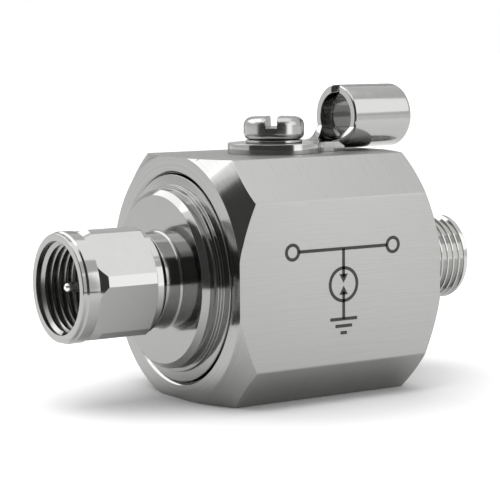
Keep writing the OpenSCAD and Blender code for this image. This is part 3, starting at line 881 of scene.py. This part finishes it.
# %% [markdown]
# ## The male flange
# The flange closes the left end of the housing. It is one turned piece: a neck for the nut, a
# polished disc, a step and a ring that lies level with the housing's end, with a groove for its
# seal. The fine dark line round it is the gap to the bore. Discs could be stacked, but one outline
# keeps the fillet and the steps in one skin.

# %% Turn the flange
DISC_R = 9.37 * MM
DISC_BEVEL = 0.56 * MM
DISC_L = 1.62 * MM
STEP_R = 9.8 * MM
STEP_L = 0.38 * MM
RING_R = 10.9 * MM
RING_L = 1.44 * MM
NECK_R = 5 * MM
NECK_L = 1.9 * MM
NECK_FILLET = 0.3 * MM
BODY_PLAY = 0.02 * MM
FERRULE_HOLE_R = 3.72 * MM
BEAD_HOLE_R = 4.52 * MM
BEAD_HOLE_L = 1.5 * MM
SEAL_R = 0.55 * MM
SEAL_SIDE_PLAY = 0.1 * MM
SEAL_PLAY = 0.04 * MM
FLANGE_EDGE = 0.07 * MM
# Painted shade: the flange is the same bright nickel as the nut, but its colour is set darker, so that
# its polished faces read less bright.
FLANGE_SHADED_NICKEL = (0.32, 0.32, 0.314)

neck_x0 = flange_lo.x
disc_x0 = neck_x0 + NECK_L
disc_x1 = disc_x0 + DISC_L
step_x1 = disc_x1 + STEP_L
ring_x1 = step_x1 + RING_L
body_r = BORE_R - BODY_PLAY
seal_x = (ring_x1 + SEAT_X) / 2
groove_half = SEAL_R + SEAL_SIDE_PLAY
groove_r = BORE_R - 2 * SEAL_R - SEAL_PLAY
fillet = arc((disc_x0 - NECK_FILLET, NECK_R + NECK_FILLET), NECK_FILLET, -90, 0)
flange_outline = [(neck_x0, FERRULE_HOLE_R), (neck_x0, NECK_R)] + fillet + [
    (disc_x0, DISC_R - DISC_BEVEL), (disc_x0 + DISC_BEVEL, DISC_R), (disc_x1, DISC_R),
    (disc_x1, STEP_R), (step_x1, STEP_R), (step_x1, RING_R), (ring_x1, RING_R), (ring_x1, body_r),
    (seal_x - groove_half, body_r), (seal_x - groove_half, groove_r),
    (seal_x + groove_half, groove_r), (seal_x + groove_half, body_r),
    (SEAT_X, body_r), (SEAT_X, BEAD_HOLE_R), (SEAT_X - BEAD_HOLE_L, BEAD_HOLE_R),
    (SEAT_X - BEAD_HOLE_L, FERRULE_HOLE_R), (neck_x0, FERRULE_HOLE_R),
]
flange = turn_piece("flange_disc", round_corners(flange_outline, FLANGE_EDGE), COAX, ALONG_X)
smooth(flange)
shaded_flange_finish = polished_plate("flange_nickel_painted_shade", FLANGE_SHADED_NICKEL)
hand_over(flange, "arrestor", "bright_nickel", "male_flange", finish=shaded_flange_finish)

# %% [markdown]
# ## The threads
# Both ends carry the same fine coax thread, 32 turns to the inch. A thread is a small section wound
# up a helix, so a flat four-sided section is swept by a Screw modifier. It is kept as a closed
# strip that sinks a little into its core. In the nut its first turn fades out, where a real one is
# chamfered.

# %% Helpers for the threads
PITCH = 25.4 / 32 * MM
THREAD_STEPS = 80
THREAD_SMOOTH = math.radians(25)
ROOT_SHARE = 0.06
CREST_SHARE = 0.42
SINK = 0.03 * MM


def wind_thread(name, start, turns, root_r, crest_r):
    """A right-hand thread strip about the coax axis, from a four-sided section."""
    drop_selection()
    bpy.ops.mesh.primitive_plane_add(size=1)
    strip = bpy.context.object
    strip.name = name
    bpy.ops.object.mode_set(mode="EDIT")
    section = bmesh.from_edit_mesh(strip.data)
    section.faces.ensure_lookup_table()
    corners = [(root_r, ROOT_SHARE), (crest_r, CREST_SHARE),
               (crest_r, 1 - CREST_SHARE), (root_r, 1 - ROOT_SHARE)]
    ring = [loop.vert for loop in section.faces[0].loops]
    for vertex, (radius, share) in zip(ring, corners):
        vertex.co = (radius, 0, share * PITCH)
    bmesh.update_edit_mesh(strip.data)
    bpy.ops.mesh.select_all(action="SELECT")
    bpy.ops.mesh.delete(type="ONLY_FACE")
    bpy.ops.object.mode_set(mode="OBJECT")
    apply_modifier(
        strip, "SCREW", axis="Z", angle=2 * math.pi, screw_offset=PITCH, iterations=turns,
        steps=THREAD_STEPS, render_steps=THREAD_STEPS,
    )
    bpy.ops.object.mode_set(mode="EDIT")
    bpy.ops.mesh.select_all(action="SELECT")
    bpy.ops.mesh.remove_doubles(threshold=WELD)
    bpy.ops.mesh.fill_holes(sides=4)
    bpy.ops.mesh.select_all(action="SELECT")
    bpy.ops.mesh.normals_make_consistent(inside=False)
    bpy.ops.object.mode_set(mode="OBJECT")
    strip.rotation_euler = ALONG_X
    strip.location = (start, 0, AXIS_H)
    bpy.ops.object.transform_apply(location=True, rotation=True, scale=True)
    bpy.ops.object.shade_smooth_by_angle(angle=THREAD_SMOOTH)
    return strip


def limit_radius(strip, limit):
    """Move thread points in or out to a radius that limit(x, radius) gives."""
    for vertex in strip.data.vertices:
        away = Vector((0, vertex.co.y, vertex.co.z - AXIS_H))
        wanted = limit(vertex.co.x, away.length)
        away *= wanted / away.length
        vertex.co = (vertex.co.x, away.y, AXIS_H + away.z)


print("thread pitch in mm:", round(PITCH / MM, 4))

# %% [markdown]
# ## The coupling nut
# The nut is hexagon bar with a round nose, stepped in at its rim, and a rear collar. It is turned
# first, as a tube, and the six flats are then milled by a block at each sixty degrees. The nose and
# the collar keep their round shape because the block is only as long as the hexagon.

# %% Turn the nut
NUT_CORNER_R = 6.12 * MM
NUT_NOSE_R = 5.73 * MM
NUT_NOSE_L = 1.85 * MM
NUT_NOSE_BEVEL = 0.06 * MM
NUT_RIM_L = 0.45 * MM
NUT_RIM_DROP = 0.17 * MM
NUT_CONE_L = 0.8 * MM
NUT_REAR_CONE_L = 0.38 * MM
NUT_COLLAR_R = 5.45 * MM
NUT_COLLAR_L = 1.15 * MM
NUT_COLLAR_BEVEL = 0.45 * MM
NUT_COLLAR_FLARE = 0.03 * MM
NUT_LIP_T = 2.05 * MM
NUT_LIP_R = 3.77 * MM
NUT_BORE_R = 4.8 * MM
NUT_EDGE = 0.05 * MM

rim_r = NUT_NOSE_R - NUT_RIM_DROP
rim_x1 = nut_lo.x + NUT_RIM_L
hexagon_x0 = nut_lo.x + NUT_NOSE_L
hexagon_x1 = nut_hi.x - NUT_COLLAR_L
lip_x0 = nut_hi.x - NUT_LIP_T
nut = turn_piece("swivel_nut", round_corners([
    (nut_lo.x, NUT_BORE_R), (nut_lo.x, rim_r - NUT_NOSE_BEVEL), (nut_lo.x + NUT_NOSE_BEVEL, rim_r),
    (rim_x1, rim_r), (rim_x1 + NUT_RIM_DROP, NUT_NOSE_R), (hexagon_x0, NUT_NOSE_R),
    (hexagon_x0 + NUT_CONE_L, NUT_CORNER_R), (hexagon_x1 - NUT_REAR_CONE_L, NUT_CORNER_R),
    (hexagon_x1, NUT_COLLAR_R - NUT_COLLAR_FLARE),
    (nut_hi.x - NUT_COLLAR_BEVEL, NUT_COLLAR_R + NUT_COLLAR_FLARE),
    (nut_hi.x, NUT_COLLAR_R - NUT_COLLAR_BEVEL),
    (nut_hi.x, NUT_LIP_R), (lip_x0, NUT_LIP_R), (lip_x0, NUT_BORE_R), (nut_lo.x, NUT_BORE_R),
], NUT_EDGE), COAX, ALONG_X)
print("nut length in mm:", round((nut_hi.x - nut_lo.x) / MM, 2))

# %% Mill the nut's flats
NUT_FLATS = 11.11 * MM
NUT_TURN = 10
NUT_SIDES = 6
NUT_SMOOTH = 20
CUTTER_PAST = 0.5 * MM
CUTTER_W = 9 * MM
CUTTER_T = 2 * MM

cutter_l = hexagon_x1 - hexagon_x0 + CUTTER_PAST
cutter_at = Vector((hexagon_x0 + cutter_l / 2, 0, AXIS_H))
for side in range(NUT_SIDES):
    rise = math.radians(NUT_TURN + (side + 0.5) * 360 / NUT_SIDES)
    out = Vector((0, -math.cos(rise), math.sin(rise)))
    centre = cutter_at + out * (NUT_FLATS / 2 + CUTTER_T / 2)
    cut(nut, block("flat_cutter", centre, (cutter_l, CUTTER_T, CUTTER_W), (-rise, 0, 0)))
smooth(nut, NUT_SMOOTH)
print("across the flats in mm:", round(NUT_FLATS / MM, 2))

# %% Wind the nut's thread
NUT_THREAD_R = 4.4 * MM
NUT_THREAD_IN = 0.3 * MM
NUT_THREAD_TURNS = 7

nut_thread_x0 = nut_lo.x + NUT_THREAD_IN
nut_thread = wind_thread("nut_thread", nut_thread_x0, NUT_THREAD_TURNS, NUT_BORE_R + SINK, NUT_THREAD_R)
limit_radius(nut_thread, lambda x, r: max(r, NUT_BORE_R - (x - nut_thread_x0)))
join(nut, nut_thread)
nut_finish = polished_plate("nut_nickel", NICKEL, bore_r=NUT_BORE_R + SINK)
hand_over(nut, "nut", "bright_nickel", "coupling_nut", finish=nut_finish)

# %% [markdown]
# ## The female port
# The port is a threaded barrel with a plain shoulder against the housing, a relief groove where the
# thread starts, and a plain nose. Its core is turned to the root of the thread and the thread strip
# is wound on it, up to the chamfered nose.

# %% Turn the port
PORT_BORE_R = 3.25 * MM
PORT_FLANGE_R = 6.48 * MM
PORT_FLANGE_T = 1.2 * MM
PORT_GROOVE_HALF = 0.5 * MM
PORT_GROOVE_R = 4.31 * MM
SHOULDER_R = 5.15 * MM
SHOULDER_L = 1.5 * MM
SHOULDER_BEVEL = 0.2 * MM
ROOT_R = 4.3 * MM
NOSE_BAND = 0.75 * MM
NOSE_LEAD = 0.3 * MM
NOSE_R = 4.66 * MM
NOSE_BEVEL = 0.22 * MM
PORT_EDGE = 0.05 * MM

flange_x1 = port_lo.x + PORT_FLANGE_T
port_groove_x = housing_hi.x - PORT_WALL / 2
port_groove_x0 = port_groove_x - PORT_GROOVE_HALF
port_groove_x1 = port_groove_x + PORT_GROOVE_HALF
shoulder_x1 = housing_hi.x + SHOULDER_L
nose_x0 = port_hi.x - NOSE_BAND
port = turn_piece("port_barrel", round_corners([
    (port_lo.x, PORT_BORE_R), (port_lo.x, PORT_FLANGE_R), (flange_x1, PORT_FLANGE_R),
    (flange_x1, SHOULDER_R), (port_groove_x0, SHOULDER_R), (port_groove_x0, PORT_GROOVE_R),
    (port_groove_x1, PORT_GROOVE_R), (port_groove_x1, SHOULDER_R),
    (shoulder_x1 - SHOULDER_BEVEL, SHOULDER_R), (shoulder_x1, SHOULDER_R - SHOULDER_BEVEL),
    (shoulder_x1, ROOT_R), (nose_x0 - NOSE_LEAD, ROOT_R), (nose_x0, NOSE_R),
    (port_hi.x - NOSE_BEVEL, NOSE_R), (port_hi.x, NOSE_R - NOSE_BEVEL),
    (port_hi.x, PORT_BORE_R), (port_lo.x, PORT_BORE_R),
], PORT_EDGE), COAX, ALONG_X)
smooth(port)
print("port core radius in mm:", round(ROOT_R / MM, 2))

# %% Wind the port's thread
CREST_R = 4.7625 * MM
RELIEF_L = 0.35 * MM
# Painted light: the port is the same bright nickel as the nut, but its colour is set lighter, so that
# the threaded barrel reads brighter.
PORT_LIT_NICKEL = (0.5, 0.5, 0.49)

thread_x0 = shoulder_x1 + RELIEF_L
thread_turns = math.floor((nose_x0 - thread_x0) / PITCH)
port_thread = wind_thread("port_thread", thread_x0, thread_turns, ROOT_R - SINK, CREST_R)
join(port, port_thread)
lit_port_finish = polished_plate("port_nickel_painted_light", PORT_LIT_NICKEL)
hand_over(port, "arrestor", "bright_nickel", "female_port", finish=lit_port_finish)

# %% [markdown]
# ## The ground screw
# The screw has a slotted pan head. The head is turned with a small round below and a larger one
# above, and the slot is sawn across it by a block, as a slitting saw would. The shank goes down
# through the lug into the housing, where its thread can't be seen, so it stays plain.

# %% Make the screw
SCREW_R = 1.75 * MM
HEAD_R = (screw_hi.y - screw_lo.y) / 2
HEAD_ROUND = 0.95 * MM
HEAD_UNDER_ROUND = 0.7 * MM
HEAD_STEPS = 10
SLOT_W = 1.2 * MM
SLOT_D = 1.15 * MM
SLOT_HEADING = math.radians(51)
SLOT_SHARP = math.radians(30)
SCREW_EDGE = 0.05 * MM
WASHER_T = 0.32 * MM
SEAT_GAP = 0.01 * MM

washer_z1 = washer_lo.z + WASHER_T
head_z0 = washer_z1 + SEAT_GAP
head_z1 = screw_hi.z


def slot_edge(edge):
    """True for a sharp outer edge near the top of the head, where the saw came through."""
    sharp = edge.is_manifold and edge.is_convex and edge.calc_face_angle() > SLOT_SHARP
    return sharp and edge.verts[0].co.z > head_z0 + SLOT_W


under = arc((head_z0 + HEAD_UNDER_ROUND, HEAD_R - HEAD_UNDER_ROUND), HEAD_UNDER_ROUND, 180, 90)
over = arc((head_z1 - HEAD_ROUND, HEAD_R - HEAD_ROUND), HEAD_ROUND, 90, 0, HEAD_STEPS)
screw_outline = [(screw_lo.z, SCREW_R), (head_z0, SCREW_R)] + under + over
screw = turn_piece("slotted_screw", screw_outline, SCREW_LINE, UPRIGHT)
saw_size = (4 * HEAD_R, SLOT_W, 2 * SLOT_D)
cut(screw, block("slot_saw", (SCREW_X, 0, head_z1), saw_size, (0, 0, SLOT_HEADING)))
bevel_edges(screw, SCREW_EDGE, slot_edge, steps=2)
smooth(screw)
hand_over(screw, "screw", "screw_nickel", "ground_screw")

# %% [markdown]
# ## The washer
# A thin plain washer lies between the screw head and the lug. It was stamped, which leaves soft
# edges, so it is turned from a rectangle with rounded corners. A hair's breadth parts it from the
# head, because two faces in the same plane would flicker.

# %% Make the washer
WASHER_R = 3.05 * MM
WASHER_HOLE_R = 1.85 * MM
WASHER_EDGE = 0.1 * MM

washer = turn_piece("washer_ring", round_corners([
    (washer_lo.z, WASHER_HOLE_R), (washer_lo.z, WASHER_R), (washer_z1, WASHER_R),
    (washer_z1, WASHER_HOLE_R), (washer_lo.z, WASHER_HOLE_R),
], WASHER_EDGE), SCREW_LINE, UPRIGHT)
smooth(washer)
hand_over(washer, "washer", "screw_nickel", "ground_washer")

# %% [markdown]
# ## The ground lug
# The lug is a stamped ring with a tongue whose sides curl up into a rolled barrel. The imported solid
# already has that form, so a copy of it is merged into one skin, its flat triangles are dissolved,
# and its stamped edges are rounded over as tumbling leaves them.

# %% Soften a copy of the lug
LUG_EDGE = 0.07 * MM
LUG_WELD = 0.002 * MM
FLAT_ENOUGH = math.radians(0.5)
STAMPED_EDGE = math.radians(25)

lug = bpy.data.objects.new("rolled_lug", nodes["ground_lug"].data.copy())
bpy.context.scene.collection.objects.link(lug)
make_active(lug)
bpy.ops.mesh.customdata_custom_splitnormals_clear()
bpy.ops.object.mode_set(mode="EDIT")
bpy.ops.mesh.select_all(action="SELECT")
bpy.ops.mesh.remove_doubles(threshold=LUG_WELD)
bpy.ops.mesh.dissolve_limited(angle_limit=FLAT_ENOUGH)
bpy.ops.object.mode_set(mode="OBJECT")
apply_modifier(
    lug, "BEVEL", width=LUG_EDGE, segments=3, limit_method="ANGLE", angle_limit=STAMPED_EDGE,
    use_clamp_overlap=False,
)
smooth(lug)
hand_over(lug, "lug", "tinned_lug", "ground_lug")
